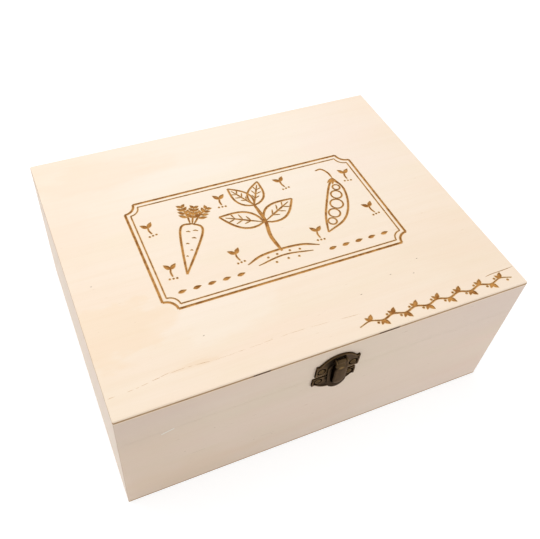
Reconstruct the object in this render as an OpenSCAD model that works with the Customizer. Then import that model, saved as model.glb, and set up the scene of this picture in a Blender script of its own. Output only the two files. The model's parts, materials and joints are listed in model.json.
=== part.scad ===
// Wooden seed box: mitred walls, flush three-ply top and base, a centre partition,
// lift-out dividers for seed packets, two butt hinges and a duckbill latch.
// The origin is the middle of the base's underside, the front faces -Y.

/* [Box] */
// Width over the outside, left to right
box_w = 250; // [220:1:300]
// Depth over the outside, front to back
box_d = 198; // [170:1:240]
// Height when closed
box_h = 100; // [96:1:130]
// Height of the seam between case and lid
seam_z = 73.5; // [70:0.5:74]
// Gap left at the seam
seam_gap = 0.1; // [0.05:0.05:0.3]
// Thickness of the side walls
wall_t = 7; // [6:0.5:9]
// Thickness of the three-ply top and base panels
panel_t = 2.6; // [2.4:0.1:4]
// Radius sanded on the outer edges
edge_r = 0.9; // [0.4:0.1:1.5]

/* [Inside] */
// Thickness of the centre partition
partition_t = 5; // [4:0.5:6]
// Height of the partition above the base panel
partition_h = 60; // [50:1:62]
// Depth of the grooves for partition and dividers
groove_d = 1.5; // [1.2:0.1:1.6]
// Dividers on each side of the partition
divider_n = 5; // [1:1:6]
// Thickness of a divider
divider_t = 2.6; // [2:0.1:3]
// Height of a divider above the base panel
divider_h = 57; // [45:1:60]
// Play between a divider and its grooves, on each side
divider_play = 0.3; // [0.2:0.05:0.5]
// Radius of the finger scoop in a divider's top edge
scoop_r = 34; // [26:1:40]
// Depth of the finger scoop
scoop_d = 14; // [8:1:18]

/* [Hinges] */
// Distance of each hinge from the middle of the back
hinge_x = 72; // [50:1:85]
// Length of a hinge along its pin
hinge_len = 30; // [24:1:38]
// Reach of a leaf from the pin's axis
leaf_reach = 12; // [10:0.5:14]
// Thickness of a leaf
leaf_t = 0.8; // [0.6:0.1:1]
// Radius of the knuckles
knuckle_r = 1.5; // [1.4:0.1:1.8]
// Radius of the hinge pin
hinge_pin_r = 0.75; // [0.6:0.05:0.9]
// Number of knuckles in each hinge, an odd number
knuckle_n = 5; // [3:2:7]

/* [Latch] */
// Sideways place of the latch plate and flap
latch_x = 1; // [-10:0.1:10]
// Sideways place of the catch plate, fitted a little off the latch
catch_x = 0; // [-10:0.1:10]
// Thickness of both plates
plate_t = 0.9; // [0.7:0.1:1]
// Half the width of both plates
plate_half_w = 13.6; // [13:0.1:16]
// Half the width of the arch between a plate's ears
arch_half_w = 11.2; // [10.5:0.1:12]
// Height of the latch plate's ears above its straight edge
latch_ear_h = 10.2; // [9:0.1:11]
// Height of the latch plate's arch above its straight edge
latch_arch_h = 16.3; // [15.5:0.1:17]
// Height of the catch plate's ears below its straight edge
catch_ear_h = 6.3; // [6:0.1:8]
// Depth of the catch plate's arch below its straight edge
catch_arch_h = 11.5; // [10.5:0.1:13]
// Height of the flap's pin above the seam
flap_pin_up = 14.7; // [14.2:0.1:15]
// Half the width of the flap
flap_half_w = 6.4; // [6:0.1:6.8]
// Length of the flap, pin to tip
flap_len = 24.6; // [24:0.1:25.5]
// Thickness of the flap's sheet
flap_t = 0.8; // [0.6:0.1:0.9]
// How far the flap stands off towards its tip
flap_tilt = 3.6; // [3:0.1:4.5]
// Radius of the latch pin
latch_pin_r = 0.5; // [0.4:0.05:0.6]

/* [Hidden] */
$fn = 64;

wood = "#F0DCC2";
ply = "#F6E3C8";
bronze = "#41362A";

inner_w = box_w - 2 * wall_t;
inner_d = box_d - 2 * wall_t;
case_top = seam_z - seam_gap / 2;
lid_bottom = seam_z + seam_gap / 2;
run_gap = 0.3;              // between pieces that move past each other
bore_gap = 0.05;            // radial clearance of a running pin

bay_d = inner_d / (divider_n + 1);
bay_w = (inner_w - partition_t) / 2;
divider_w = bay_w + 2 * (groove_d - divider_play);
divider_x = (inner_w + partition_t) / 4;

hinge_off = knuckle_r + run_gap;    // pin axis behind the back face
knuckle_p = hinge_len / knuckle_n;

screw_r = 0.9;
screw_len = 5.8;
screw_head_r = 1.9;
screw_head_h = 0.7;
hinge_screw_u = 9.5;                // screws from the hinge's middle
hinge_screw_z = 7.2;                // screws from the pin's axis
plate_screw_u = 9.9;                // screws from a plate's middle
latch_screw_t = 4.4;                // screws from the latch plate's straight edge
catch_screw_t = 3.2;                // screws from the catch plate's straight edge

latch_z = seam_z + 2;               // straight edge of the latch plate
catch_z = seam_z;                   // straight edge of the catch plate
bead_w = 0.9;
bead_h = 0.35;
eye_r = 1.3;
pin_z = seam_z + flap_pin_up;
pin_w = plate_t + 0.4 + eye_r;      // pin axis in front of the front face
stem_half_w = 2.6;
cheek_t = 0.8;
cheek_r = 1.4;
crown_r = 16;                       // bend of the flap's face from side to side
dome_depth = 7;
shoulder_h = 2;                     // drop from the flap's face to its skirt
skirt_ends = [-7.6, flap_half_w - flap_len];    // middles of the skirt's round ends
face_ends = [-6.6, -15.4];          // middles of the face's round ends
face_r = 4.5;
lug_w = 1.9;                        // reach of the lug from the front face

// Flat shape with round corners, about the origin
module rounded_rect(w, h, r) {
    square([w - 2 * r, h], center = true);
    square([w, h - 2 * r], center = true);
    for (x = [-1, 1], y = [-1, 1])
        translate([x * (w / 2 - r), y * (h / 2 - r)]) circle(r = r);
}

// Outside of the closed box with its sanded edges
module box_form() {
    intersection() {
        linear_extrude(box_h) rounded_rect(box_w, box_d, edge_r);
        translate([0, box_d / 2 + 1, box_h / 2]) rotate([90, 0, 0])
            linear_extrude(box_d + 2) rounded_rect(box_w, box_h, edge_r);
        translate([-box_w / 2 - 1, 0, box_h / 2]) rotate([90, 0, 90])
            linear_extrude(box_w + 2) rounded_rect(box_d, box_h, edge_r);
    }
}

// Local frame on the front face: x to the right, y up, z out of the face
module on_front(x) translate([x, -box_d / 2, 0]) rotate([90, 0, 0]) children();

// The same on the back face, seen from behind
module on_back(x) translate([x, box_d / 2, 0]) rotate([90, 0, 180]) children();

// Wall with mitred ends; turn 0 is the front, 90 right, 180 back, 270 left
module wall(turn, z0, z1) {
    side = turn % 180 == 0;
    len = side ? box_w : box_d;
    out = side ? box_d / 2 : box_w / 2;
    intersection() {
        linear_extrude(box_h) rounded_rect(box_w, box_d, edge_r);
        rotate(turn) translate([0, -out, z0]) linear_extrude(z1 - z0)
            polygon([[-len / 2, 0], [len / 2, 0], [len / 2 - wall_t, wall_t], [wall_t - len / 2, wall_t]]);
    }
}

module case_wall(turn) wall(turn, panel_t, case_top);

module lid_wall(turn) wall(turn, lid_bottom, box_h - panel_t);

// Round-head screw with a slot, seated at z = 0 and driven towards -z
module screw(slot_turn = 0) {
    dome_r = (screw_head_r * screw_head_r + screw_head_h * screw_head_h) / (2 * screw_head_h);
    difference() {
        union() {
            intersection() {
                translate([0, 0, screw_head_h - dome_r]) sphere(r = dome_r);
                cylinder(r = screw_head_r, h = screw_head_h);
            }
            translate([0, 0, -screw_len]) cylinder(r = screw_r, h = screw_len + 0.1);
        }
        rotate(slot_turn) translate([-screw_head_r, -0.25, screw_head_h - 0.4])
            cube([2 * screw_head_r, 0.5, 1]);
    }
}

module screw_hole() translate([0, 0, -screw_len - 0.3]) cylinder(r = screw_r, h = screw_len + 3);

// Hinge screws of the case (side -1) or the lid (side 1), on both hinges
module at_hinge_screws(side) {
    for (x = [-hinge_x, hinge_x], u = [-1, 1])
        on_back(x) translate([u * hinge_screw_u, seam_z + side * hinge_screw_z, leaf_t]) children();
}

module at_latch_screws() {
    for (u = [-1, 1])
        on_front(latch_x) translate([u * plate_screw_u, latch_z + latch_screw_t, plate_t]) children();
}

module at_catch_screws() {
    for (u = [-1, 1])
        on_front(catch_x) translate([u * plate_screw_u, catch_z - catch_screw_t, plate_t]) children();
}

// Upright groove for a divider, cut towards +y from a face at y = 0, open at the top
module groove() {
    w = divider_t + 2 * divider_play;
    translate([-w / 2, -1, panel_t]) cube([w, groove_d + 1, box_h]);
}

// Middle of divider i, from the front
function divider_y(i) = i * bay_d - inner_d / 2;

module case_base() {
    color(ply) intersection() {
        box_form();
        translate([-box_w / 2, -box_d / 2, 0]) cube([box_w, box_d, panel_t]);
    }
}

module partition_slot() {
    translate([-partition_t / 2, 0, panel_t]) cube([partition_t, groove_d, partition_h]);
}

module case_front() {
    color(wood) difference() {
        case_wall(0);
        translate([0, -inner_d / 2 - groove_d, 0]) partition_slot();
        at_catch_screws() screw_hole();
    }
}

module case_back() {
    color(wood) difference() {
        case_wall(180);
        translate([0, inner_d / 2, 0]) partition_slot();
        at_hinge_screws(-1) screw_hole();
    }
}

// Left wall (side -1) or right wall (side 1), grooved for the dividers
module case_side(side) {
    color(wood) difference() {
        case_wall(side < 0 ? 270 : 90);
        for (i = [1:divider_n])
            translate([side * inner_w / 2, divider_y(i), 0]) rotate(-side * 90) groove();
    }
}

module partition() {
    color(ply) difference() {
        translate([-partition_t / 2, -inner_d / 2 - groove_d, panel_t])
            cube([partition_t, inner_d + 2 * groove_d, partition_h]);
        for (i = [1:divider_n], side = [-1, 1])
            translate([side * partition_t / 2, divider_y(i), 0]) rotate(side * 90) groove();
    }
}

// Divider with a finger scoop; side is -1 in the left row and 1 in the right
module divider(side, i) {
    h = divider_h - divider_play;
    color(ply)
        translate([side * divider_x, divider_y(i) + divider_t / 2, panel_t + divider_play])
            rotate([90, 0, 0]) linear_extrude(divider_t) difference() {
                translate([0, h / 2]) rounded_rect(divider_w, h, 1);
                translate([0, h + scoop_r - scoop_d]) circle(r = scoop_r);
            }
}

module lid_panel() {
    color(ply) intersection() {
        box_form();
        translate([-box_w / 2, -box_d / 2, box_h - panel_t]) cube([box_w, box_d, panel_t]);
    }
}

module lid_front() {
    color(wood) difference() {
        lid_wall(0);
        at_latch_screws() screw_hole();
    }
}

module lid_back() {
    color(wood) difference() {
        lid_wall(180);
        at_hinge_screws(1) screw_hole();
    }
}

module lid_side(side) color(wood) lid_wall(side < 0 ? 270 : 90);

// Leaf with its curled knuckles. The case's leaf (side -1) has the first and last
// knuckle and grips the pin, the lid's leaf (side 1) turns on it.
module hinge_leaf(x, side) {
    first = side < 0 ? 0 : 1;
    tongue = 0.6;
    bore_r = side < 0 ? hinge_pin_r : hinge_pin_r + bore_gap;
    color(bronze) difference() {
        on_back(x) translate([0, seam_z, 0]) union() {
            linear_extrude(leaf_t) difference() {
                translate([0, side * (leaf_reach + tongue) / 2])
                    rounded_rect(hinge_len, leaf_reach - tongue, 1.2);
                for (i = [1 - first:2:knuckle_n - 1])
                    translate([i * knuckle_p - hinge_len / 2 - run_gap / 2, side < 0 ? -knuckle_r - run_gap : 0])
                        square([knuckle_p + run_gap, knuckle_r + run_gap]);
            }
            for (i = [first:2:knuckle_n - 1]) {
                x0 = i * knuckle_p - hinge_len / 2 + run_gap / 2;
                translate([x0, 0, hinge_off]) rotate([0, 90, 0])
                    cylinder(r = knuckle_r, h = knuckle_p - run_gap);
                translate([x0, side < 0 ? -3 : tongue, 0])
                    cube([knuckle_p - run_gap, 3 - tongue, leaf_t]);
            }
        }
        on_back(x) translate([-hinge_len, seam_z, hinge_off]) rotate([0, 90, 0])
            cylinder(r = bore_r, h = 2 * hinge_len);
        at_hinge_screws(side) screw_hole();
    }
}

module hinge_pin(x) {
    head_h = 0.6;
    color(bronze) on_back(x) translate([-hinge_len / 2 - head_h, seam_z, hinge_off]) rotate([0, 90, 0]) {
        cylinder(r = hinge_pin_r, h = hinge_len + 2 * head_h);
        for (z = [0, hinge_len + head_h - run_gap / 2])
            translate([0, 0, z]) cylinder(r = hinge_pin_r + 0.35, h = head_h + run_gap / 2);
    }
}

// Plate outline: straight edge at y = 0, ears at the sides, an arch between them
module plate_outline(ear_h, arch_h, inset) {
    rise = arch_h - ear_h;
    arch_r = (arch_half_w * arch_half_w + rise * rise) / (2 * rise);
    half = plate_half_w - inset;
    difference() {
        union() {
            translate([-half, inset]) square([2 * half, ear_h - 2 * inset]);
            intersection() {
                translate([0, arch_h - arch_r]) circle(r = arch_r - inset);
                translate([-half, inset]) square([2 * half, arch_h]);
            }
        }
        for (s = [-1, 1])
            translate([s * (arch_half_w + 0.9), ear_h + 0.5]) circle(r = 0.9 + inset);
    }
}

// Stamped plate with a raised bead along its ears and arch
module stamped_plate(ear_h, arch_h) {
    linear_extrude(plate_t) plate_outline(ear_h, arch_h, 0);
    linear_extrude(plate_t + bead_h) difference() {
        plate_outline(ear_h, arch_h, 0);
        plate_outline(ear_h, arch_h, bead_w);
        translate([-20, -1]) square([40, 2]);
    }
}

// Upright cheek that holds one end of the latch pin
module cheek(side) {
    translate([side < 0 ? -stem_half_w - run_gap - cheek_t : stem_half_w + run_gap, pin_z, 0])
        rotate([90, 0, 90]) linear_extrude(cheek_t) {
            translate([0, pin_w]) circle(r = cheek_r);
            translate([-cheek_r, plate_t / 2]) square([2 * cheek_r, pin_w - plate_t / 2]);
        }
}

module latch_plate() {
    color(bronze) difference() {
        on_front(latch_x) union() {
            translate([0, latch_z, 0]) stamped_plate(latch_ear_h, latch_arch_h);
            for (side = [-1, 1]) cheek(side);
        }
        on_front(latch_x) translate([-10, pin_z, pin_w]) rotate([0, 90, 0])
            cylinder(r = latch_pin_r, h = 20);
        at_latch_screws() screw_hole();
    }
}

module latch_pin() {
    half = stem_half_w + run_gap + cheek_t;
    color(bronze) on_front(latch_x) translate([0, pin_z, pin_w]) rotate([0, 90, 0]) {
        translate([0, 0, -half - 0.4]) cylinder(r = latch_pin_r, h = 2 * half + 0.8);
        for (z = [-half - 0.4, half]) translate([0, 0, z]) cylinder(r = latch_pin_r + 0.3, h = 0.4);
    }
}

// Flat shape with two round ends, about the points at these heights
module stadium(ends, r) {
    for (y = ends) translate([0, y]) circle(r = r);
    translate([-r, ends[1]]) square([2 * r, ends[0] - ends[1]]);
}

// Skirt with a proud crowned face, its front at z = 0 and the pin's height at y = 0
module dome(inset) {
    intersection() {
        translate([0, 0, -dome_depth]) union() {
            linear_extrude(dome_depth - shoulder_h - inset) stadium(skirt_ends, flap_half_w - inset);
            linear_extrude(dome_depth) stadium(face_ends, face_r - inset);
        }
        translate([0, 10, -crown_r]) rotate([90, 0, 0]) cylinder(r = crown_r - inset, h = 50);
    }
}

// Space behind the flap: it clears both plates, and the lug as the lid rises
module behind_flap() {
    back_w = plate_t + 0.4;
    tip_w = lug_w + 0.7;
    bend_z = seam_z - 0.5;
    tip_z = seam_z - 6.6;
    translate([-10, 0, 0]) rotate([90, 0, 90]) linear_extrude(20)
        polygon([[pin_z + 10, -9], [pin_z + 10, back_w], [bend_z, back_w],
                 [tip_z, tip_w], [tip_z - 10, tip_w], [tip_z - 10, -9]]);
}

module latch_flap() {
    color(bronze) on_front(latch_x) difference() {
        union() {
            translate([0, pin_z, pin_w + eye_r]) rotate([-flap_tilt, 0, 0]) difference() {
                union() {
                    dome(0);
                    translate([-stem_half_w, -4, -eye_r - flap_t])
                        cube([2 * stem_half_w, 4, flap_t]);
                }
                dome(flap_t);
            }
            translate([-stem_half_w, pin_z, pin_w]) rotate([0, 90, 0])
                cylinder(r = eye_r, h = 2 * stem_half_w);
        }
        translate([-10, pin_z, pin_w]) rotate([0, 90, 0])
            cylinder(r = latch_pin_r + bore_gap, h = 20);
        behind_flap();
    }
}

// Ramped lug that the flap snaps over
module catch_lug() {
    half = 2.2;
    translate([-half, catch_z, 0]) rotate([90, 0, 90]) linear_extrude(2 * half)
        polygon([[-2.4, plate_t / 2], [-2.4, plate_t], [-4.6, lug_w], [-6, lug_w],
                 [-6.4, plate_t], [-6.4, plate_t / 2]]);
}

module catch_plate() {
    color(bronze) difference() {
        on_front(catch_x) union() {
            translate([0, catch_z, 0]) mirror([0, 1, 0]) stamped_plate(catch_ear_h, catch_arch_h);
            catch_lug();
        }
        at_catch_screws() screw_hole();
    }
}

module latch_screws() color(bronze) at_latch_screws() screw(35);

module catch_screws() color(bronze) at_catch_screws() screw(-20);

module hinge_screws(side) color(bronze) at_hinge_screws(side) screw(60);

case_base();
case_front();
case_back();
case_side(-1);  // case_left
case_side(1);  // case_right
partition();
for (i = [1:divider_n]) {
    divider(-1, i);
    divider(1, i);
}
lid_panel();
lid_front();
lid_back();
lid_side(-1);  // lid_left
lid_side(1);  // lid_right
hinge_leaf(-hinge_x, -1);  // hinge_left_case_leaf
hinge_leaf(-hinge_x, 1);  // hinge_left_lid_leaf
hinge_pin(-hinge_x);  // hinge_left_pin
hinge_leaf(hinge_x, -1);  // hinge_right_case_leaf
hinge_leaf(hinge_x, 1);  // hinge_right_lid_leaf
hinge_pin(hinge_x);  // hinge_right_pin
hinge_screws(-1);  // hinge_screws_case
hinge_screws(1);  // hinge_screws_lid
latch_plate();
latch_pin();
latch_flap();
catch_plate();
latch_screws();
catch_screws();
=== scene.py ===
# Garden seed box: a plain pale wooden box with a hinged lid and a dark bronze latch.
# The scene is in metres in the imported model's frame, with the front facing -Y. Settings are in
# mm and degrees unless their comment says otherwise.
import json
import math
import random

import bmesh
import bpy
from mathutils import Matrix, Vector, geometry


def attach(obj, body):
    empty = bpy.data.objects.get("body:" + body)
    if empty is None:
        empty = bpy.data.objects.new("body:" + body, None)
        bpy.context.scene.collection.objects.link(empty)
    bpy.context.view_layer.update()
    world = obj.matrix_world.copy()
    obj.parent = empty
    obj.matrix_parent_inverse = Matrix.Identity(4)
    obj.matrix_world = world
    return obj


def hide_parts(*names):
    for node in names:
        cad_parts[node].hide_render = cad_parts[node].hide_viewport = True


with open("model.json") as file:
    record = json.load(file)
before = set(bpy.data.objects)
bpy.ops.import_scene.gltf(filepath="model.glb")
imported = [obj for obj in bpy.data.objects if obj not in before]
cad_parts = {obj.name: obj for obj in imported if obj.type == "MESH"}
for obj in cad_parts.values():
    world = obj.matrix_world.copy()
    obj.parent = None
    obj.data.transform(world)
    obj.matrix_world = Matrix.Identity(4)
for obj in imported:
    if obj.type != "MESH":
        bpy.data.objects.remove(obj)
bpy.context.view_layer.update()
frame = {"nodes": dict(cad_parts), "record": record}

mm = 0.001
mmPerMetre = 1000
scene = bpy.context.scene
scene.view_settings.view_transform = "Standard"
nodes = frame["nodes"]


def addObject(name, data):
    made = bpy.data.objects.new(name, data)
    scene.collection.objects.link(made)
    return made


cameraSetup = {
    "place": (-0.13847, -0.25267, 0.38714),  # metres
    "turn": (40.3637, -2.5821, -22.6329),
    "sensor": 36,
    "lens": 43.515,
    "shift": (0.0618, 0.0048),
}
cameraData = bpy.data.cameras.new("camera")
cameraData.sensor_width, cameraData.lens = cameraSetup["sensor"], cameraSetup["lens"]
cameraData.shift_x, cameraData.shift_y = cameraSetup["shift"]
camera = addObject("camera", cameraData)
camera.location = cameraSetup["place"]
camera.rotation_euler = [math.radians(a) for a in cameraSetup["turn"]]
scene.camera = camera
print("camera placed")


def linearColour(hexCode):
    # the sRGB curve's own numbers
    parts = [int(hexCode[i:i + 2], 16) / 255 for i in (1, 3, 5)]
    return [p / 12.92 if p <= 0.04045 else ((p + 0.055) / 1.055) ** 2.4 for p in parts] + [1.0]


def addNode(tree, kind, values=None, links=None, **attributes):
    node = tree.nodes.new(kind)
    for name, value in attributes.items():
        setattr(node, name, value)
    for socket, value in (values or {}).items():
        node.inputs[socket].default_value = value
    for socket, source in (links or {}).items():
        tree.links.new(source, node.inputs[socket])
    return node


def newMaterial(name):
    material = bpy.data.materials.new(name)
    material.use_nodes = True
    material.node_tree.nodes.clear()
    return material, material.node_tree


def stretchedNoise(tree, coords, sizes, detail=3, offset=(0, 0, 0)):
    # sizes are the pattern's real lengths in mm along x, y and z
    place = addNode(tree, "ShaderNodeMapping",
                    {"Scale": [mmPerMetre / s for s in sizes], "Location": offset},
                    {"Vector": coords}).outputs[0]
    return addNode(tree, "ShaderNodeTexNoise", {"Scale": 1, "Detail": detail, "Roughness": 0.55},
                   {"Vector": place}).outputs["Fac"]


def band(tree, value, low, high, soft, within=None):
    # 1 between low and high in mm, with an edge of width soft, and only where within is 1
    up, down = [addNode(tree, "ShaderNodeMapRange", {"From Min": start * mm, "From Max": end * mm},
                        {"Value": value}).outputs[0]
                for start, end in ((low - soft, low + soft), (high + soft, high - soft))]
    mask = addNode(tree, "ShaderNodeMath", links={0: up, 1: down}, operation="MULTIPLY").outputs[0]
    if within is not None:
        mask = addNode(tree, "ShaderNodeMath", links={0: mask, 1: within},
                       operation="MULTIPLY").outputs[0]
    return mask


def stained(tree, under, mask, over, gain=1.0, shift=0.0):
    # one colour laid over another by gain times the mask; each is a socket or a hex code
    share = addNode(tree, "ShaderNodeMath", {1: gain, 2: shift}, {0: mask},
                    operation="MULTIPLY_ADD", use_clamp=True).outputs[0]
    mix = addNode(tree, "ShaderNodeMix", links={0: share}, data_type="RGBA")
    for socket, colour in ((6, under), (7, over)):  # the node's two colour inputs
        if isinstance(colour, str):
            mix.inputs[socket].default_value = linearColour(colour)
        else:
            tree.links.new(colour, mix.inputs[socket])
    return mix.outputs[2]


woodLooks = {
    # grain is the axis that the fibres follow; the strengths are how far the growth streaks, the
    # fibres and the broad warm and cool bands show
    "sandedPineAlongX": {
        "grain": "x", "base": "#F3DECA", "fibre": "#E9D0B5", "warm": "#F3D8C5",
        "cool": "#EDDCC2", "fleck": "#C9A98A", "strengths": (0.2, 0.16, 0.6)},
    "sandedPineAlongY": {
        "grain": "y", "base": "#F2E1CF", "fibre": "#E7D0B8", "warm": "#F2DAC9",
        "cool": "#ECDCC6", "fleck": "#C9A98A", "strengths": (0.22, 0.18, 0.5)},
    "sandedDividerPly": {
        "grain": "x", "base": "#F0DFC8", "fibre": "#DFC5A2", "warm": "#EFD6BC",
        "cool": "#EADBBE", "fleck": "#BE986B", "strengths": (0.6, 0.5, 0.5)},
    "sandedPoplarPly": {
        "grain": "x", "base": "#FAE6CF", "fibre": "#F1D6B2", "warm": "#FAE0C6",
        "cool": "#F6E3C4", "fleck": "#D0AB80", "strengths": (0.3, 0.2, 0.5)},
}
grainPatterns = {
    # length along and across the grain, detail, offset. Real fibres are about 0.1 mm wide, too
    # fine to show, so they are drawn 0.9 mm wide
    "growth": (90, 4.5, 3, (0, 0, 0)),
    "fibre": (22, 0.9, 2, (3, 5, 7)),
    "warm": (130, 24, 2, (9, 2, 4)),
    "cool": (110, 30, 2, (2, 6, 1)),
    "fleck": (5, 0.7, 1, (1, 8, 3)),
}
woodSkin = {"roughness": 0.62, "sooty": 0.8, "specular": 0.25, "bump": 0.25, "relief": 0.15}


def finishWood(tree, colour, height, roughness=woodSkin["roughness"]):
    bump = addNode(tree, "ShaderNodeBump",
                   {"Strength": woodSkin["bump"], "Distance": woodSkin["relief"] * mm},
                   {"Height": height})
    shader = addNode(tree, "ShaderNodeBsdfPrincipled",
                     {"Roughness": roughness, "Specular IOR Level": woodSkin["specular"]},
                     {"Base Color": colour, "Normal": bump.outputs[0]})
    addNode(tree, "ShaderNodeOutputMaterial", links={"Surface": shader.outputs[0]})


def grainColour(tree, coords, look):
    wide, fine, broad = look["strengths"]
    noise = {}
    for name, (along, across, detail, offset) in grainPatterns.items():
        sizes = (along, across, across) if look["grain"] == "x" else (across, along, across)
        noise[name] = stretchedNoise(tree, coords, sizes, detail, offset)
    colour = look["base"]
    for pattern, shade, gain, shift in (
            ("warm", "warm", 4 * broad, -1.8 * broad), ("cool", "cool", 4 * broad, -2.0 * broad),
            ("growth", "fibre", 2 * wide, -0.9 * wide), ("fibre", "fibre", 2 * fine, -0.9 * fine),
            ("fleck", "fleck", 7.0, -5.3)):
        colour = stained(tree, colour, noise[pattern], look[shade], gain, shift)
    return colour, noise["fibre"]


# broad stains in the wood, and a few patches of painted light and painted shade marked below:
# middle, half sizes (0 leaves that axis out), where the full shade starts and how ragged the
# edge is in half sizes, shade and share. The veneer's stains are the figure of its rotary cut
veneerPatches = (
    # painted light: paler and cooler towards the back of the top
    ((9, 55, 0), (150, 100, 0), 0.2, 0.0, "#FBF1E2", 0.4),
    ((-52, -54, 0), (40, 22, 0), 0.5, 0.7, "#FDF1E2", 0.3),
    ((-112, -48, 0), (36, 19, 0), 0.75, 0.9, "#F7D6AC", 0.28),
    ((-76, -82, 0), (17, 2.6, 0), 0.3, 0.9, "#EBC798", 0.25),
    ((-82, 74, 0), (44, 17, 0), 0.6, 0.8, "#F7DCC0", 0.3),
    ((-35, 58, 0), (60, 10, 0), 0.4, 0.6, "#FFF5EC", 0.16),
    ((-118, 30, 0), (22, 40, 0), 0.3, 0.8, "#F8DDC4", 0.18),
    ((88, 50, 0), (44, 56, 0), 0.2, 0.6, "#F8DDD0", 0.2),
    ((100, -58, 0), (46, 34, 0), 0.2, 0.7, "#F3D9BB", 0.2),
)
pinePatches = (
    # painted shade: darker, a little warmer, towards the left end of the front and back
    ((-120, 0, 55), (50, 0, 70), 0.2, 0.3, "#E9CFB5", 0.34),
    ((-88, 0, 12), (50, 0, 23), 0.3, 0.8, "#E8CDA4", 0.2),
    ((-122, 0, 92), (66, 0, 32), 0.1, 0.4, "#D9C7BC", 0.26),
    # painted light: lighter low on the front and back, where the floor's shade falls
    ((65, 0, -4), (150, 0, 28), 0.1, 0.3, "#FFF0E2", 0.42),
    ((118, 0, 90), (70, 0, 42), 0.1, 0.3, "#DECBC2", 0.28),
)
patchEdge = {"end": 1.15, "tear": 0.6, "plainTear": 50}  # end and tear in half sizes


def raggedPatch(tree, coords, colour, middle, halves, inner, ragged, shade, share):
    place = addNode(tree, "ShaderNodeMapping",
                    {"Scale": [mmPerMetre / h if h else 0 for h in halves],
                     "Location": [-m / h if h else 0 for m, h in zip(middle, halves)]},
                    {"Vector": coords}).outputs[0]
    away = addNode(tree, "ShaderNodeVectorMath", links={0: place},
                   operation="LENGTH").outputs["Value"]
    tears = [h * patchEdge["tear"] or patchEdge["plainTear"] for h in halves]
    torn = stretchedNoise(tree, coords, tears, 3, (5, 1, 0))
    reach = addNode(tree, "ShaderNodeMath", {1: 2 * ragged, 2: -ragged}, {0: torn},
                    operation="MULTIPLY_ADD").outputs[0]
    edge = addNode(tree, "ShaderNodeMath", links={0: away, 1: reach}, operation="ADD").outputs[0]
    patch = addNode(tree, "ShaderNodeMapRange", {"From Min": patchEdge["end"], "From Max": inner},
                    {"Value": edge}, interpolation_type="SMOOTHSTEP").outputs[0]
    return stained(tree, colour, patch, shade, share)


pineMarks = {
    # the mitres' glue shows near the corners, where |x| - |y| is half the width less half the
    # depth
    "corner": (117, 200), "glue": (25.8, 26.2),
    # a pale scratch on the front, 8 mm long, rising to the right
    "front": (-110, -98), "scratch": (-101.6, -94.4), "level": (100.45, 101.0), "slope": 0.293,
    # small mineral flecks in the front: from, to, height, half thickness
    "flecks": ((-89.4, -88.6, 41.2, 0.15), (-33.8, -33.0, 22.5, 0.15),
               (-45.8, -45.0, 23.5, 0.15), (-71.7, -70.9, 57.5, 0.15),
               (-41, -32, 24.6, 0.05), (-85, -77, 35.6, 0.05)),
}


def pineMaterial(name):
    # unfinished softwood, planed and sanded: a matt, nearly even skin with faint long streaks
    material, tree = newMaterial(name)
    coords = addNode(tree, "ShaderNodeTexCoord").outputs["Object"]
    colour, fibre = grainColour(tree, coords, woodLooks[name])
    x, y, z = addNode(tree, "ShaderNodeSeparateXYZ", links={"Vector": coords}).outputs
    ax, ay = [addNode(tree, "ShaderNodeMath", links={0: v}, operation="ABSOLUTE").outputs[0]
              for v in (x, y)]
    apart = addNode(tree, "ShaderNodeMath", links={0: ax, 1: ay}, operation="SUBTRACT").outputs[0]
    corner = band(tree, ax, *pineMarks["corner"], 1)
    glue = band(tree, apart, *pineMarks["glue"], 0.2, corner)
    colour = stained(tree, colour, glue, "#A9835A", 0.6)
    if name == "sandedPineAlongX":
        for patch in pinePatches:
            colour = raggedPatch(tree, coords, colour, *patch)
        front = band(tree, y, *pineMarks["front"], 1)
        rise = addNode(tree, "ShaderNodeMath", {1: pineMarks["slope"]}, {0: x},
                       operation="MULTIPLY").outputs[0]
        level = addNode(tree, "ShaderNodeMath", links={0: z, 1: rise},
                        operation="SUBTRACT").outputs[0]
        scratch = band(tree, level, *pineMarks["level"], 0.15,
                       band(tree, x, *pineMarks["scratch"], 0.3, front))
        colour = stained(tree, colour, scratch, "#FFFFF8", 0.95)
        for left, right, middle, thick in pineMarks["flecks"]:
            spot = band(tree, x, left, right, 0.25,
                        band(tree, z, middle - thick, middle + thick, 0.2, front))
            colour = stained(tree, colour, spot, "#A58562", 0.7)
    finishWood(tree, colour, fibre)
    return material


def thinPlyMaterial(name, across, pitch, low, high):
    # three-ply of the inside: pale veneers, with the darker core as a line along each cut edge.
    # The boards stand a pitch apart, and the core lies between low and high from their middles
    material, tree = newMaterial(name)
    coords = addNode(tree, "ShaderNodeTexCoord").outputs["Object"]
    colour, fibre = grainColour(tree, coords, woodLooks["sandedDividerPly"])
    way = addNode(tree, "ShaderNodeSeparateXYZ", links={"Vector": coords}).outputs[across]
    off = addNode(tree, "ShaderNodeMath", {1: pitch * mm / 2}, {0: way},
                  operation="PINGPONG").outputs[0]
    core = band(tree, off, low, high, 0.1)
    mottle = stretchedNoise(tree, coords, (5, 5, 5))
    colour = stained(tree, colour, core, stained(tree, "#D2AF85", mottle, "#AD8353", 1.6, -0.3))
    finishWood(tree, colour, fibre)
    return material


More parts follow.
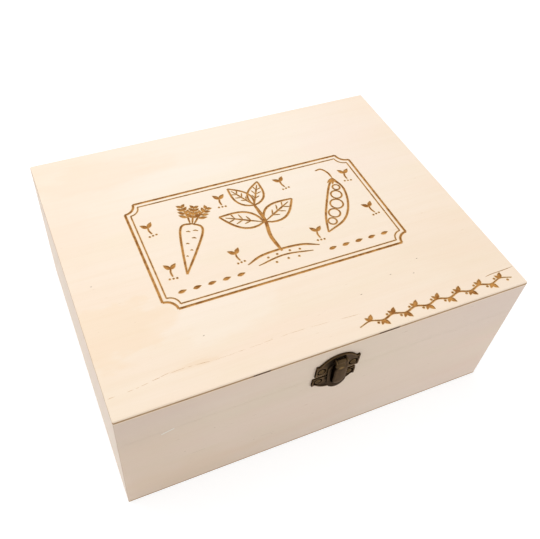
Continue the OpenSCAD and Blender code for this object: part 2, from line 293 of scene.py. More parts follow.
def plyMaterial(name, low, high, voids):
    # poplar-faced three-ply: an even veneer, and a darker rotary-cut core at the edge. The core
    # lies between low and high; the gaps in it are given as left, right, front and back, and are
    # painted dark as the shade inside them
    material, tree = newMaterial(name)
    coords = addNode(tree, "ShaderNodeTexCoord").outputs["Object"]
    colour, fibre = grainColour(tree, coords, woodLooks["sandedPoplarPly"])
    x, y, z = addNode(tree, "ShaderNodeSeparateXYZ", links={"Vector": coords}).outputs
    for patch in veneerPatches:
        colour = raggedPatch(tree, coords, colour, *patch)
    core = band(tree, z, low, high, 0.08)
    mottle = stretchedNoise(tree, coords, (6, 6, 0.8))
    colour = stained(tree, colour, core, stained(tree, "#C8A277", mottle, "#94693C", 1.6, -0.45))
    for left, right, front, back in voids:
        # painted shade: each gap in the core is drawn dark as the shade inside it
        gap = band(tree, x, left, right, 0.6, band(tree, y, front, back, 1, core))
        colour = stained(tree, colour, gap, "#5E3E20")
    finishWood(tree, colour, fibre)
    return material


def markMaterial(name, light, dark):
    # a mark in the veneer: matt, and mottled between two shades as in scorched or bare wood
    material, tree = newMaterial(name)
    coords = addNode(tree, "ShaderNodeTexCoord").outputs["Object"]
    spots = stretchedNoise(tree, coords, (3.4, 3.4, 3.4))
    colour = stained(tree, light, spots, dark, 4.0, -1.6)
    finishWood(tree, colour, spots, woodSkin["sooty"])
    return material


pineX, pineY = pineMaterial("sandedPineAlongX"), pineMaterial("sandedPineAlongY")
dividerPly = thinPlyMaterial("sandedDividerPly", 1, 92 / 3, -1, 0.45)
partitionPly = thinPlyMaterial("sandedPartitionPly", 0, 1000, 0.6, 1.5)
lidPly = plyMaterial("sandedPoplarPlyLid", 98.15, 99.45,
                     ((-51, -41, -110, -80), (24, 37, -110, -80), (61, 70, 80, 110)))
basePly = plyMaterial("sandedPoplarPlyBase", 0.75, 1.85,
                      ((-96, -84, 80, 110), (12, 19, 80, 110)))
# the floor of the laser's cut is toasted brown, its walls are charred, and smoke tans the rim
toasted = markMaterial("laserToastedPoplar", "#C98E48", "#935B22")
charred = markMaterial("laserCharredEdge", "#84521F", "#4A2B10")
smoked = markMaterial("smokeTintedPoplar", "#EFCFA2", "#E6BE8A")
# an open check shows the darker wood under the face, a hair check and a fleck hardly
checked = markMaterial("openCheckInVeneer", "#C29A6C", "#A3794A")
hairline = markMaterial("hairCheckInVeneer", "#E6C79E", "#D3A876")
pitted = markMaterial("mineralFleckInVeneer", "#A98C6A", "#8A6F50")


bronzeLooks = {
    # the tint is the metal's colour towards its edges
    "antiquedBronzePlate": {"low": "#30261C", "high": "#4E3D2C", "tint": "#FDEBDC"},
    # the dark finish: patina in hollows, also laid on as painted shade on walls, grooves and sides
    "bronzePatinaAndPaintedShade": {"low": "#1E160E", "high": "#30241A", "tint": "#8E7050"},
}
bronzeSkin = {
    "cloud": (3.5, 3.5, 3.5), "grit": (0.6, 0.6, 0.6), "relief": 0.1, "roughness": (0.38, 0.56),
    "rubbed": "#8A7048", "sunk": "#120D08",
    # painted light: a matt brown with less metal on the plate behind the pin, in place of the
    # barrel's dark reflection and shade there
    "paintedLight": "#4E3F2D", "paintedLightX": (-1.6, 3.6), "paintedLightY": (-100.2, -98), "paintedLightZ": (87, 91.4),
}


def bronzeMaterial(name):
    # stamped steel with an antique bronze finish: near-black brown in every hollow, an olive
    # brown sheen on open faces, brassy where fingers rub it. The same shades also give painted
    # highlight and painted shade on the flap, and a matt brown patch behind the pin is painted
    # light
    material, tree = newMaterial(name)
    look, skin = bronzeLooks[name], bronzeSkin
    coords = addNode(tree, "ShaderNodeTexCoord").outputs["Object"]
    cloud = stretchedNoise(tree, coords, skin["cloud"], 4)
    grit = stretchedNoise(tree, coords, skin["grit"], 2, (4, 4, 4))
    colour = stained(tree, look["low"], cloud, look["high"], 2.4, -0.8)
    wearAndPaintedLight = addNode(tree, "ShaderNodeAttribute", attribute_name="wearAndPaintedLight").outputs["Fac"]
    # brassy where rubbed and at painted highlights; near black in hollows and in painted shade
    colour = stained(tree, colour, wearAndPaintedLight, skin["rubbed"], 0.8)
    colour = stained(tree, colour, wearAndPaintedLight, skin["sunk"], -0.9)
    x, y, z = addNode(tree, "ShaderNodeSeparateXYZ", links={"Vector": coords}).outputs
    # painted light behind the pin: a matt brown, with less metal
    paintedLight = band(tree, x, *skin["paintedLightX"], 0.4, band(tree, z, *skin["paintedLightZ"], 0.5))
    paintedLight = band(tree, y, *skin["paintedLightY"], 0.1, paintedLight)
    colour = stained(tree, colour, paintedLight, skin["paintedLight"], 0.8)
    metal = addNode(tree, "ShaderNodeMath", {1: -0.6, 2: 1.0}, {0: paintedLight},
                    operation="MULTIPLY_ADD").outputs[0]
    bump = addNode(tree, "ShaderNodeBump", {"Strength": 0.3, "Distance": skin["relief"] * mm},
                   {"Height": grit}).outputs[0]
    smooth, rough = skin["roughness"]
    roughness = addNode(tree, "ShaderNodeMapRange", {"To Min": smooth, "To Max": rough},
                        {"Value": cloud}).outputs[0]
    shader = addNode(tree, "ShaderNodeBsdfPrincipled",
                     {"Specular Tint": linearColour(look["tint"])},
                     {"Base Color": colour, "Metallic": metal, "Roughness": roughness,
                      "Normal": bump})
    addNode(tree, "ShaderNodeOutputMaterial", links={"Surface": shader.outputs[0]})
    return material


bronze = bronzeMaterial("antiquedBronzePlate")
patinaAndPaintedShade = bronzeMaterial("bronzePatinaAndPaintedShade")

for name, node in nodes.items():
    if name == "lid_panel":
        continue
    if "hinge" in name or "latch" in name or "catch" in name:
        chosen = bronze
    elif name == "case_base":
        chosen = basePly
    elif name == "partition":
        chosen = partitionPly
    elif name.startswith("divider"):
        chosen = dividerPly
    else:
        chosen = pineX if name.endswith(("front", "back")) else pineY
    node.data.materials.clear()
    node.data.materials.append(chosen)
print("materials made")


bodyOf = {node: body for body, names in frame["record"]["behaviour"]["bodies"].items()
          for node in names}
softestEdge = 42  # edges that turn further than this stay sharp in the shading


def finishedPiece(name, shape, replaced, materials):
    # puts a bmesh into the scene in the place of a CAD node
    data = bpy.data.meshes.new(name)
    shape.to_mesh(data)
    shape.free()
    data.shade_smooth()
    data.set_sharp_from_angle(angle=math.radians(softestEdge))
    piece = addObject(name, data)
    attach(piece, bodyOf[replaced])
    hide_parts(replaced)
    for material in materials:
        data.materials.append(material)


def joinLoops(shape, loops):
    for lower, upper in zip(loops, loops[1:]):
        for i in range(len(lower)):
            j = (i + 1) % len(lower)
            shape.faces.new((lower[i], lower[j], upper[j], upper[i]))


flapSetup = {
    # middle of the latch, the front wall, the pin's height and reach, and the barrel's radius
    "middle": 1.0, "front": -99.0, "pinHeight": 88.2, "pinOut": 2.6, "eye": 1.3,
    # the flap's lean, its sheet, and points round each ring
    "lean": 3.6, "sheet": 0.6, "around": 96,
    # the skirt's rim: its level, how much it rises, from which height down and over how much
    "rim": (1.3, 1.3, 73.0, 6.1),
    # the face: height of its crown, how far below the pin it is and its length, the fall to the
    # sides, and where the lower end starts to fall, for how long and how gently
    "crown": (0.62, 7.5, 7), "sides": 34, "tip": (-15, 5, 60),
    # the face is pressed a little to the right: how far, from which radius and over how much
    "aside": (0.3, 6.4, 1.5),
    # the skirt's lower end turns up: how much, from where and over how much
    "turnUp": (0.34, -13, 6),
    # rings from the skirt's rim to the middle of the face: radius, upper and lower middle, rise
    # from the rim's level (0) to the face's (1), wear; low on the wall, as patina with painted
    # shade
    "rings": (
        (6.37, -7.6, -18.2, 0.0, -1.0), (6.4, -7.6, -18.2, 0.08, -0.6),
        (6.3, -7.6, -18.2, 0.14, 0.1), (6.0, -7.6, -18.2, 0.16, 0.2),
        (5.5, -7.5, -17.8, 0.14, 0.1), (4.8, -7.2, -17.0, 0.11, -0.1),
        (4.5, -7.0, -16.4, 0.13, -0.8), (4.38, -6.9, -16.0, 0.3, -0.85),
        (4.3, -6.8, -15.8, 0.5, -0.85), (4.2, -6.7, -15.6, 0.7, -0.75),
        (4.02, -6.6, -15.4, 0.86, -0.6), (3.7, -6.6, -15.4, 0.95, -0.4),
        (3.3, -6.6, -15.4, 0.985, -0.05), (2.8, -6.6, -15.4, 1.0, 0.05),
        (2.2, -6.6, -15.4, 1.0, 0.0), (1.6, -6.6, -15.4, 1.0, 0.0),
        (1.0, -6.6, -15.4, 1.0, 0.0), (0.15, -6.6, -15.4, 1.0, 0.0)),
    # the dark finish on the rim and wall: patina, with painted shade on the steep wall
    "darkRings": (0, 6, 7, 8, 9),  # the rim and the wall up to the face
    "faceRise": 0.9,  # rings that rise further belong to the face
    # a painted highlight, with some finger rub, where the face turns up to the pin: place and half
    # length along x and y; and how much the skirt's two ends darken, from where and over how much
    "paintedHighlight": (-0.3, 1.7, -4.0, 0.9), "upperDark": (0.7, -6.5, 2.5), "lowerDark": (0.9, -16.5, 5),
    # the sheet curls round the pin: place along the pin, radius
    "barrel": ((-2.6, 0.55), (-2.6, 1.1), (-2.5, 1.24), (-2.34, 1.3),
               (2.34, 1.3), (2.5, 1.24), (2.6, 1.1), (2.6, 0.55)),
    "barrelSides": 32,
    # the neck from the barrel down into the face: place along the flap, half its width, level
    "neck": ((-0.2, 2.5, -0.06), (-0.8, 2.55, -0.12), (-1.5, 2.6, 0.0), (-2.2, 2.9, 0.18),
             (-2.9, 3.2, 0.3), (-3.7, 3.3, 0.32), (-4.6, 3.1, 0.2), (-5.6, 2.6, -0.3)),
    "neckDepth": 1.5, "neckSteps": 16, "neckWear": 0.18,
}


def ramp(value):
    return max(0.0, min(1.0, value))


def onFront(x, up, out):
    return Vector(((flapSetup["middle"] + x) * mm, (flapSetup["front"] - out) * mm, up * mm))


def onFlap(x, y, z):
    # the flap's own frame leans out from the pin
    lean = math.radians(flapSetup["lean"])
    return onFront(x, flapSetup["pinHeight"] + y * math.cos(lean) + z * math.sin(lean),
                   flapSetup["pinOut"] + flapSetup["eye"] - y * math.sin(lean) + z * math.cos(lean))


def rimLevel(y):
    # the space behind the flap clears the plates above and the lug below
    level, more, start, over = flapSetup["rim"]
    low = ramp((start - (flapSetup["pinHeight"] + y)) / over)
    return (level + more * low - flapSetup["pinOut"] - flapSetup["eye"]
            + y * math.sin(math.radians(flapSetup["lean"])))


def faceLevel(x, y):
    # the pressed face bulges most near its upper end and is crowned from side to side
    height, place, length = flapSetup["crown"]
    start, most, gentle = flapSetup["tip"]
    return (height * math.exp(-((y + place) / length) ** 2) - x * x / flapSetup["sides"]
            - min(most, max(0, start - y)) ** 2 / gentle)


def flapWearAndPaintedLight(x, y, rise, worn):
    # painted highlight and some finger rub on the face's upper end; the skirt's ends stay dark
    if rise > flapSetup["faceRise"]:
        highlightX, halfX, highlightY, halfY = flapSetup["paintedHighlight"]
        worn += math.exp(-((y - highlightY) / halfY) ** 2 - ((x - highlightX) / halfX) ** 2)
    else:
        upper, upperStart, upperOver = flapSetup["upperDark"]
        lower, lowerStart, lowerOver = flapSetup["lowerDark"]
        worn -= upper * ramp((y - upperStart) / upperOver)
        worn -= lower * ramp((lowerStart - y) / lowerOver)
    return max(-1, worn)


def pressedFlap():
    shape = bmesh.new()
    wearAndPaintedLight = shape.verts.layers.float.new("wearAndPaintedLight")
    around, loops = flapSetup["around"], []
    aside, skirt, asideOver = flapSetup["aside"]
    turnUp, turnStart, turnOver = flapSetup["turnUp"]
    for radius, upper, lower, rise, worn in flapSetup["rings"]:
        loop = []
        for i in range(around):
            a = 2 * math.pi * i / around
            x = radius * math.cos(a) + aside * min(1, (skirt - radius) / asideOver)
            y = radius * math.sin(a) + (upper if math.sin(a) > 0 else lower)
            lift = rise
            if 0 < rise < 1:
                lift += turnUp * ramp((turnStart - y) / turnOver) * (1 - rise)
            rim = rimLevel(y)
            vert = shape.verts.new(onFlap(x, y, rim + lift * (faceLevel(x, y) - rim)))
            vert[wearAndPaintedLight] = flapWearAndPaintedLight(x, y, rise, worn)
            loop.append(vert)
        loops.append(loop)
    joinLoops(shape, loops)
    for k, face in enumerate(shape.faces):
        face.material_index = 1 if k // around in flapSetup["darkRings"] else 0
    shape.faces.new(loops[-1])
    bmesh.ops.recalc_face_normals(shape, faces=shape.faces)
    if sum(f.normal.y for f in shape.faces) > 0:
        bmesh.ops.reverse_faces(shape, faces=shape.faces)
    bmesh.ops.solidify(shape, geom=shape.faces[:], thickness=flapSetup["sheet"] * mm)
    barrel, sides = [], flapSetup["barrelSides"]
    for x, r in flapSetup["barrel"]:
        turns = [2 * math.pi * k / sides for k in range(sides)]
        barrel.append([shape.verts.new(onFront(x, flapSetup["pinHeight"] + r * math.sin(a),
                                               flapSetup["pinOut"] + r * math.cos(a)))
                       for a in turns])
    joinLoops(shape, barrel + barrel[:1])
    neck, steps, depth = [], flapSetup["neckSteps"], flapSetup["neckDepth"]
    for y, half, level in flapSetup["neck"]:
        # a rounded hood: fuller at the sides than a circle
        turns = [math.pi * k / steps for k in range(steps + 1)]
        section = [(half * math.copysign(abs(math.cos(a)) ** 0.7, math.cos(a)),
                    level - depth * (1 - math.sin(a) ** 0.6)) for a in turns]
        neck.append([shape.verts.new(onFlap(x, y, z)) for x, z in section])
    joinLoops(shape, neck)
    shape.faces.new(neck[0][::-1])
    shape.faces.new(neck[-1])
    for vert in [v for loop in barrel + neck for v in loop]:
        vert[wearAndPaintedLight] = flapSetup["neckWear"]
    bmesh.ops.recalc_face_normals(shape, faces=shape.faces)
    finishedPiece("pressed_latch_flap", shape, "latch_flap", (bronze, patinaAndPaintedShade))


pressedFlap()


easingSetup = {
    # node: width of the eased edges, and how bright they are rubbed
    "edges": {
        "latch_plate": (0.14, 0.3), "catch_plate": (0.14, 0.3),
        "latch_screws": (0.12, 0.6), "catch_screws": (0.12, 0.6),
        "hinge_left_case_leaf": (0.12, 0.3), "hinge_left_lid_leaf": (0.12, 0.3),
        "hinge_right_case_leaf": (0.12, 0.3), "hinge_right_lid_leaf": (0.12, 0.3),
        "hinge_screws_case": (0.1, 0.4), "hinge_screws_lid": (0.1, 0.4)},
    # a dimple pressed round each screw's head: its middles as x and height, then how far out it
    # is, its radius and depth, and the points round it and across its groove
    "dimples": {"latch_plate": ((-8.9, 79.9), (10.9, 79.9)),
                "catch_plate": ((-9.9, 70.3), (9.9, 70.3))},
    "dimple": {"out": 0.95, "radius": 2.3, "depth": 0.5, "around": 40, "across": 12},
    "join": 1e-6,  # metres
    "flat": 1, "sharp": 32,  # edges that turn less are taken out, and those that turn more eased
    # wear of a screw's head over its plate's, the share that a hollow takes, and the darkest
    "screws": 0.1, "hollow": 0.7, "darkest": -0.8,
    # faces this near to a dimple's groove take the dark finish, as patina with painted shade, and
    # so do the sheared sides, which hardly look to the front or back: painted shade with patina
    "near": 0.52, "side": 0.4,
}


def dimpleCutter(x, up):
    dimple, loops, shape = easingSetup["dimple"], [], bmesh.new()
    radius, depth, across = dimple["radius"], dimple["depth"], dimple["across"]
    turns = [2 * math.pi * k / across for k in range(across)]
    for i in range(dimple["around"]):
        a = 2 * math.pi * i / dimple["around"]
        loops.append([shape.verts.new(
            Vector(((x + (radius + depth * math.cos(b)) * math.cos(a)) * mm,
                    (flapSetup["front"] - dimple["out"] + depth * math.sin(b)) * mm,
                    (up + (radius + depth * math.cos(b)) * math.sin(a)) * mm))) for b in turns])
    joinLoops(shape, loops + loops[:1])
    bmesh.ops.recalc_face_normals(shape, faces=shape.faces)
    data = bpy.data.meshes.new("dimple")
    shape.to_mesh(data)
    shape.free()
    return addObject("dimple", data)


def pressDimples(shape, middles):
    cutters = [dimpleCutter(*middle) for middle in middles]
    data = bpy.data.meshes.new("blank")
    shape.to_mesh(data)
    blank = addObject("blank", data)
    for cutter in cutters:
        step = blank.modifiers.new("dimple", "BOOLEAN")
        step.operation, step.solver, step.object = "DIFFERENCE", "EXACT", cutter
    depsgraph = bpy.context.evaluated_depsgraph_get()
    shape.clear()
    shape.from_mesh(blank.evaluated_get(depsgraph).to_mesh())
    for spare in (blank, *cutters):
        bpy.data.objects.remove(spare)
    bmesh.ops.remove_doubles(shape, verts=shape.verts, dist=easingSetup["join"])


def easedCopy(nodeName, ease, rub, middles=()):
    # the CAD shape with its edges eased as by tumbling; hollows stay dark, edges rub bright,
    # and dimple grooves and sheared sides take painted shade with the dark finish
    shape = bmesh.new()
    shape.from_mesh(nodes[nodeName].data)
    bmesh.ops.remove_doubles(shape, verts=shape.verts, dist=easingSetup["join"])
    if middles:
        pressDimples(shape, middles)
    bmesh.ops.dissolve_limit(shape, angle_limit=math.radians(easingSetup["flat"]),
                             verts=shape.verts, edges=shape.edges)
    sharp = [e for e in shape.edges if len(e.link_faces) == 2
             and e.calc_face_angle(0) > math.radians(easingSetup["sharp"])]
    bmesh.ops.bevel(shape, geom=sharp, offset=ease * mm, segments=2, profile=0.5,
                    affect="EDGES", clamp_overlap=True)
    bmesh.ops.triangulate(shape, faces=[f for f in shape.faces if len(f.verts) > 4])
    wearAndPaintedLight = shape.verts.layers.float.new("wearAndPaintedLight")
    head = easingSetup["screws"] if "screws" in nodeName else 0
    for vert in shape.verts:
        bend = sum(e.calc_face_angle_signed(0) for e in vert.link_edges if len(e.link_faces) == 2)
        rubbed = min(rub, bend * (rub if bend > 0 else easingSetup["hollow"]))
        vert[wearAndPaintedLight] = max(easingSetup["darkest"], rubbed + head)
    radius, near = easingSetup["dimple"]["radius"], easingSetup["near"]
    for face in shape.faces:
        centre = face.calc_center_median() / mm
        hollow = any(abs(math.hypot(centre.x - x, centre.z - up) - radius) < near
                     for x, up in middles)
        # painted shade with patina: dimple grooves and sheared sides take the dark finish
        face.material_index = 1 if hollow or abs(face.normal.y) < easingSetup["side"] else 0
    finishedPiece(nodeName + "_eased", shape, nodeName, (bronze, patinaAndPaintedShade))


for nodeName, (ease, rub) in easingSetup["edges"].items():
    easedCopy(nodeName, ease, rub, easingSetup["dimples"].get(nodeName, ()))
print("latch and hinges made")


def curve(points, steps=8):
    # smooth line through the points
    pts = [Vector(p) for p in points]
    ends = [pts[0] * 2 - pts[1]] + pts + [pts[-1] * 2 - pts[-2]]
    line = []
    for i in range(1, len(ends) - 2):
        a, b, c, d = ends[i - 1:i + 3]
        for k in range(steps):
            t = k / steps
            line.append(0.5 * (2 * b + (c - a) * t + (2 * a - 5 * b + 4 * c - d) * t ** 2
                               + (3 * b - a - 3 * c + d) * t ** 3))
    return line + [pts[-1]]


def ribbon(line, width, taper=0.35):
    # a stroke of the laser along the line, narrower over a sixth of it at either end
    left, right = [], []
    for i, p in enumerate(line):
        way = (line[min(i + 1, len(line) - 1)] - line[max(i - 1, 0)]).normalized()
        t = i / (len(line) - 1)
        half = width / 2 * (taper + (1 - taper) * min(1, 6 * t, 6 * (1 - t)))
        side = Vector((-way.y, way.x)) * half
        left.append(p + side)
        right.append(p - side)
    return right + left[::-1]


def turned(base, angle, along, across):
    c, s = math.cos(angle), math.sin(angle)
    return Vector((base[0] + c * along - s * across, base[1] + s * along + c * across))


def onCircle(centre, radius, angle):
    return Vector((centre[0] + radius * math.cos(angle), centre[1] + radius * math.sin(angle)))


def disc(centre, radius, count=12):
    return [onCircle(centre, radius, 2 * math.pi * k / count) for k in range(count)]


def ring(centre, radius, line):
    # two half circles
    return [ribbon([onCircle(centre, radius, start + math.pi * k / 10) for k in range(11)],
                   line, 1.0) for start in (0, math.pi)]


def leafSide(base, angle, length, half, side):
    # widest just before its middle
    return [turned(base, angle, length * t, side * half * math.sin(math.pi * t ** 0.8))
            for t in [k / 10 for k in range(11)]]


def solidLeaf(base, angle, length, width):
    low = leafSide(base, angle, length, width / 2, -1)
    return [low + leafSide(base, angle, length, width / 2, 1)[-2:0:-1]]


leafVeins = {
    # shares of the leaf's length: the midrib's points and where the veins leave it; shares of
    # the line's width for the midrib and the veins; a vein's reach as a share of the leaf's width
    "midrib": (0.0, 0.3, 0.6, 0.86), "midribLine": 0.8,
    "veins": (0.28, 0.46, 0.64), "veinLine": 0.6, "reach": 0.3,
    # a vein's points: how much further along the leaf, and the share of its reach
    "vein": ((0, 0), (0.08, 0.6), (0.13, 1)),
    "bold": 1.3,  # the lines are drawn this much wider
}


def drawnLeaf(base, angle, length, width, line):
    line *= leafVeins["bold"]
    shapes = [ribbon(leafSide(base, angle, length, width / 2, s), line, 0.8) for s in (-1, 1)]
    shapes.append(ribbon([turned(base, angle, length * t, 0) for t in leafVeins["midrib"]],
                         line * leafVeins["midribLine"]))
    for t in leafVeins["veins"]:
        for s in (-1, 1):
            reach = leafVeins["reach"] * width * math.sin(math.pi * t)
            vein = [turned(base, angle, length * (t + further), s * reach * share)
                    for further, share in leafVeins["vein"]]
            shapes.append(ribbon(vein, line * leafVeins["veinLine"]))
    return shapes


seedlingSetup = {
    # lines as points, width and taper; leaves as base, angle, length, width and line
    "stem": (((0, -26), (-1.2, -14), (0.8, -2), (0, 12)), 1.9, 0.6),
    "leaves": (((0.3, -3), 28, 25, 12.5, 0.9), ((-0.3, -3), 152, 25, 12.5, 0.9),
               ((0, 11), 62, 20, 9.5, 0.8), ((0, 11), 118, 20, 9.5, 0.8)),
    "soil": ((((-21, -29), (-12, -25.5), (0, -24.6), (12, -25.5), (21, -29)), 1.2),
             (((-16, -31.5), (0, -29), (16, -31.5)), 0.8)),
    "crumbs": ((-9, -28), (-3.5, -27.3), (4, -27.2), (9.5, -28.1),
               (-6, -32.4), (1, -32), (7, -32.6)),
    "crumb": 0.6,
}


def seedling():
    stem, width, taper = seedlingSetup["stem"]
    shapes = [ribbon(curve(stem), width, taper)]
    for base, angle, length, leafWidth, line in seedlingSetup["leaves"]:
        shapes += drawnLeaf(base, math.radians(angle), length, leafWidth, line)
    shapes += [ribbon(curve(points), line) for points, line in seedlingSetup["soil"]]
    return shapes + [disc(spot, seedlingSetup["crumb"]) for spot in seedlingSetup["crumbs"]]


carrotSetup = {
    # place along the root, and its half width or, for the short rings, how far from the middle
    "root": ((-20, 0), (-6, 3.2), (6, 5.4), (11, 4.6), (12.6, 0)),
    "rings": ((7, 2.6), (3, -2.7), (-1, 2), (-5, -1.7), (-9, 1.2), (8, -3.2)),
    # the stalks' leans in radians, their places along and across, where the leaves leave them,
    # and a leaf's angle to its stalk, length, how much shorter the next one is, and width
    "leans": (-0.5, 0, 0.5), "stalk": ((12.6, 2), (18, 6), (24, 13)),
    "leaves": (0.35, 0.55, 0.75, 0.95), "leaf": (0.85, 4.4, 0.5, 1.7),
}


def carrot(angle):
    at = lambda u, v: turned((0, 0), angle, u, v)
    shapes = [ribbon(curve([at(u, s * v) for u, v in carrotSetup["root"]]), 1.0, 0.8)
              for s in (-1, 1)]
    for u, v in carrotSetup["rings"]:
        shapes.append(ribbon([at(u, v), at(u + 0.3, v * 0.6), at(u, v * 0.2)], 0.7))
    apart, length, shorter, width = carrotSetup["leaf"]
    for lean in carrotSetup["leans"]:
        tip = [at(u, lean * v) for u, v in carrotSetup["stalk"]]
        shapes.append(ribbon(curve(tip), 0.8))
        for k, t in enumerate(carrotSetup["leaves"]):
            spot = tip[0].lerp(tip[2], t)
            for s in (-1, 1):
                turn = angle + lean * 0.9 + s * apart
                shapes += solidLeaf(spot, turn, length - shorter * k, width)
    return shapes


podSetup = {
    # points along and across the pod; the peas as place along it and radius, and the curve that
    # they lie on as its lowest point along and across, and its slope to either side
    "sides": (((-21, 2), (-10, -5.5), (2, -6.8), (14, -3.6), (21, 3)),
              ((-21, 2), (-10, 4.2), (2, 4.6), (14, 4.4), (21, 3))),
    "peas": ((-12.6, 2.3), (-6.3, 3.1), (1, 3.5), (8.2, 3), (14, 2)), "row": (1, -0.7, 0.09),
    "stalk": ((21, 3), (25, 6), (27, 10), (25, 13)),
    "sepals": (-0.5, 0.1, 0.7), "sepal": (5.2, 1.6),  # angles in radians; length, width
}


def peaPod(angle):
    at = lambda u, v: turned((0, 0), angle, u, v)
    shapes = [ribbon(curve([at(*p) for p in side]), 1.0, 0.7) for side in podSetup["sides"]]
    lowest, across, slope = podSetup["row"]
    for u, r in podSetup["peas"]:
        shapes += ring(at(u, across + abs(u - lowest) * slope), r, 0.8)
    shapes.append(ribbon(curve([at(*p) for p in podSetup["stalk"]]), 0.9))
    for s in podSetup["sepals"]:
        shapes += solidLeaf(at(*podSetup["stalk"][0]), angle + math.pi + s, *podSetup["sepal"])
    return shapes


sproutSetup = {
    # two seed leaves on a short stalk, over three crumbs of soil: the stalk's points, the leaves'
    # foot, angle in radians, length and width, and the crumbs and their radius
    "stalk": ((-4.6, 0), (-1.5, 0.5), (1.2, 0)), "leaves": (1.0, 0.75, 5.4, 2.6),
    "crumbs": ((-6.2, -2.2), (-6.2, 0), (-6.2, 2.2)), "crumb": 0.6,
}


def sprout(centre, angle):
    at = lambda u, v: turned(centre, angle, u, v)
    shapes = [ribbon(curve([at(*p) for p in sproutSetup["stalk"]]), 0.9, 0.7)]
    foot, apart, length, width = sproutSetup["leaves"]
    for s in (-1, 1):
        shapes += solidLeaf(at(foot, 0), angle + s * apart, length, width)
    return shapes + [disc(at(*spot), sproutSetup["crumb"]) for spot in sproutSetup["crumbs"]]


def frameLine(halfW, halfH, notch, width):
    # rectangle with scooped corners, drawn side by side
    shapes = []
    for sx, sy in ((1, 1), (-1, 1), (-1, -1), (1, -1)):
        corner = Vector((sx * halfW, sy * halfH))
        arc = [Vector((corner.x - sx * notch * math.cos(a), corner.y - sy * notch * math.sin(a)))
               for a in [math.pi / 2 * k / 8 for k in range(9)]]
        shapes.append(ribbon(arc, width, 1.0))
    for s in (-1, 1):
        for line in ([(x * (halfW - notch), s * halfH) for x in (-1, 0, 1)],
                     [(s * halfW, y * (halfH - notch)) for y in (-1, 0, 1)]):
            shapes.append(ribbon([Vector(p) for p in line], width, 1.0))
    return shapes


vineSetup = {
    # small vine along the front edge: its two ends and middle height, bends, how far it sways,
    # the two leaves at each bend as angle, length and width, and a berry's place and radius
    "ends": (15.5, 118), "height": -91.4, "bends": 14, "sway": 0.95,
    "leaves": ((56, 4.6, 2.5), (128, 3.4, 1.8)), "berry": (3.9, 2.6, 0.7),
}


def vineRow():
    (start, end), bends, sway = vineSetup["ends"], vineSetup["bends"], vineSetup["sway"]
    wave = [(start + (end - start) * k / bends, vineSetup["height"] + (sway if k % 2 else -sway))
            for k in range(bends + 1)]
    shapes = [ribbon(curve(wave), 1.0)]
    along, across, radius = vineSetup["berry"]
    for k in range(1, bends):
        side = 1 if k % 2 else -1
        for angle, length, width in vineSetup["leaves"]:
            shapes += solidLeaf(wave[k], side * math.radians(angle), length, width)
        shapes.append(disc((wave[k][0] + along, wave[k][1] - side * across), radius))
    return shapes


artSetup = {
    # the frame's lines as half width, half height, scoop and line; the three drawings as place,
    # scale and angle; the sprouts as place and lean; the leaf row as places, height and leaf
    "place": (-0.5, -2.0),
    "frames": ((79, 43.5, 7, 1.3), (76, 40.5, 6.2, 0.7)),
    "seedling": ((0, 5), 1.12), "carrot": ((-49, 1), 1.25, 66), "pod": ((49, 0), 1.2, 58),
    "sprouts": ((-69, 20, 8), (-19, 29, -6), (25, 31, 8), (69, 24, -8),
                (-67, -16, -6), (69, -10, 8), (-27, -18, 6), (27, -18, -6)),
    "leafRow": (-66, -57, -48, -39, -30, 30, 39, 48, 57, 66), "leafHeight": -33,
    "leaf": (8, 5.2, 2.2),  # angle, length, width
}


def grown(shapes, place, size):
    return [[p * size + Vector(place) for p in shape] for shape in shapes]


def fits(shape):
    # the outline has to run anticlockwise
    area = sum(a.x * b.y - b.x * a.y for a, b in zip(shape, shape[1:] + shape[:1]))
    return shape if area > 0 else shape[::-1]


def burntArt():
    shapes = [s for line in artSetup["frames"] for s in frameLine(*line)]
    shapes += grown(seedling(), *artSetup["seedling"])
    for draw, key in ((carrot, "carrot"), (peaPod, "pod")):
        place, size, angle = artSetup[key]
        shapes += grown(draw(math.radians(angle)), place, size)
    for x, y, lean in artSetup["sprouts"]:
        shapes += sprout((x, y), math.radians(90 + lean))
    angle, length, width = artSetup["leaf"]
    for x in artSetup["leafRow"]:
        base = (x - length / 2, artSetup["leafHeight"])
        shapes += solidLeaf(base, math.radians(angle), length, width)
    shapes = grown(shapes, artSetup["place"], 1)
    return [fits(s) for s in shapes + vineRow()]


def widened(shape, by):
    # the same outline pushed outwards, for the smoke round a burnt line
    out = []
    for i, p in enumerate(shape):
        way = shape[(i + 1) % len(shape)] - shape[i - 1]
        side = Vector((way.y, -way.x))
        out.append(p + side.normalized() * by if side.length > 1e-6 else p.copy())
    return out


